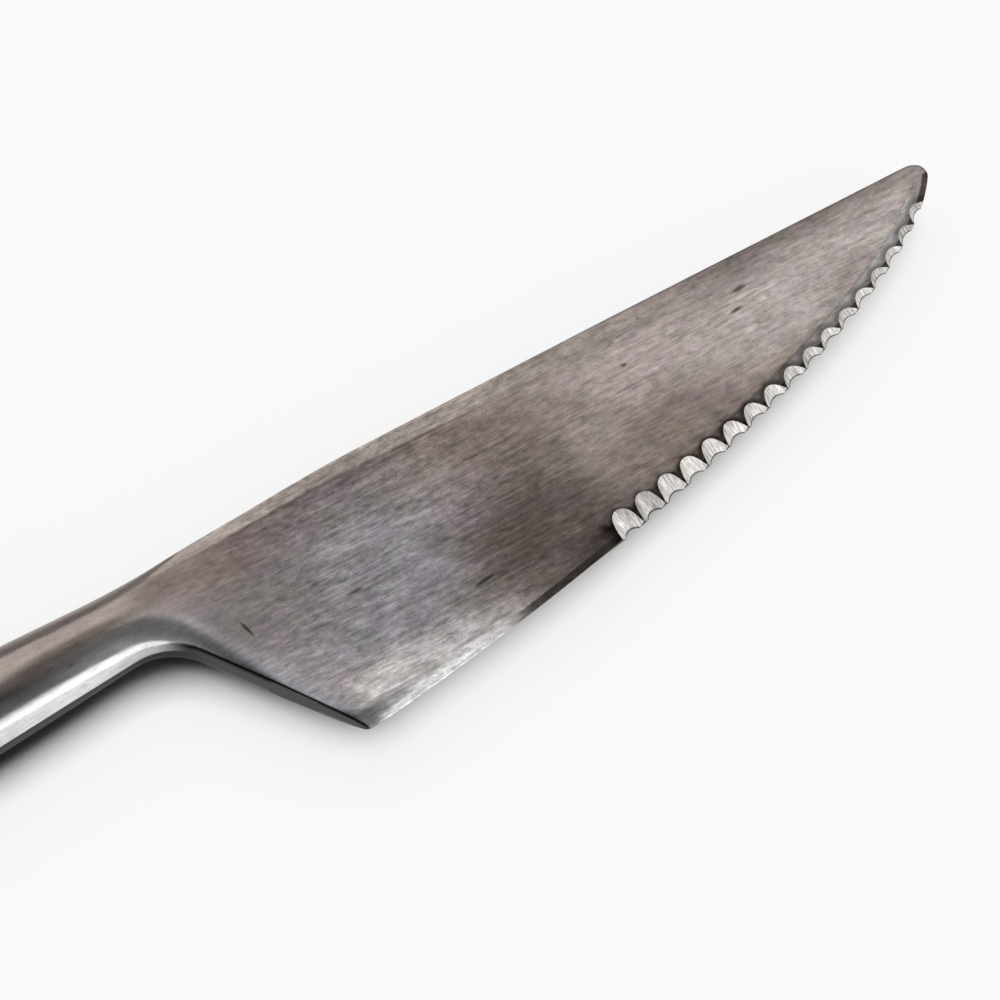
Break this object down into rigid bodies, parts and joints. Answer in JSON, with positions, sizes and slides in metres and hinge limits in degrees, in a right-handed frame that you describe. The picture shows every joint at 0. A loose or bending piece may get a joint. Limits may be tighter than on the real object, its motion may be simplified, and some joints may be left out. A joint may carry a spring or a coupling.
{
  "type": "steak knife",
  "caption": "Stainless steel steak knife with a scalloped edge, a rounded seamless neck and a hollow handle, lying on its side.",
  "frame": {"origin": "middle of the bounding box, on the flat on the handle's underside that the knife rests on", "axes": "+X from the butt of the handle to the point, +Y from the cutting edge to the spine, +Z out of the face that the scallops are ground in"},
  "size_m": [0.22, 0.0308, 0.0116],
  "materials": {
    "blade_steel": "ground along the blade and lightly polished, with the scallops freshly ground",
    "handle_steel": "polished",
    "silver_braze": "polished flush with the handle",
    "resin_cement": "dull, hidden inside the handle"
  },
  "bodies": {
    "root": {"blade": "blade_steel", "handle_shell_front": "handle_steel", "handle_shell_back": "handle_steel", "seam_braze": "silver_braze", "tang_cement": "resin_cement"}
  },
  "joints": []
}
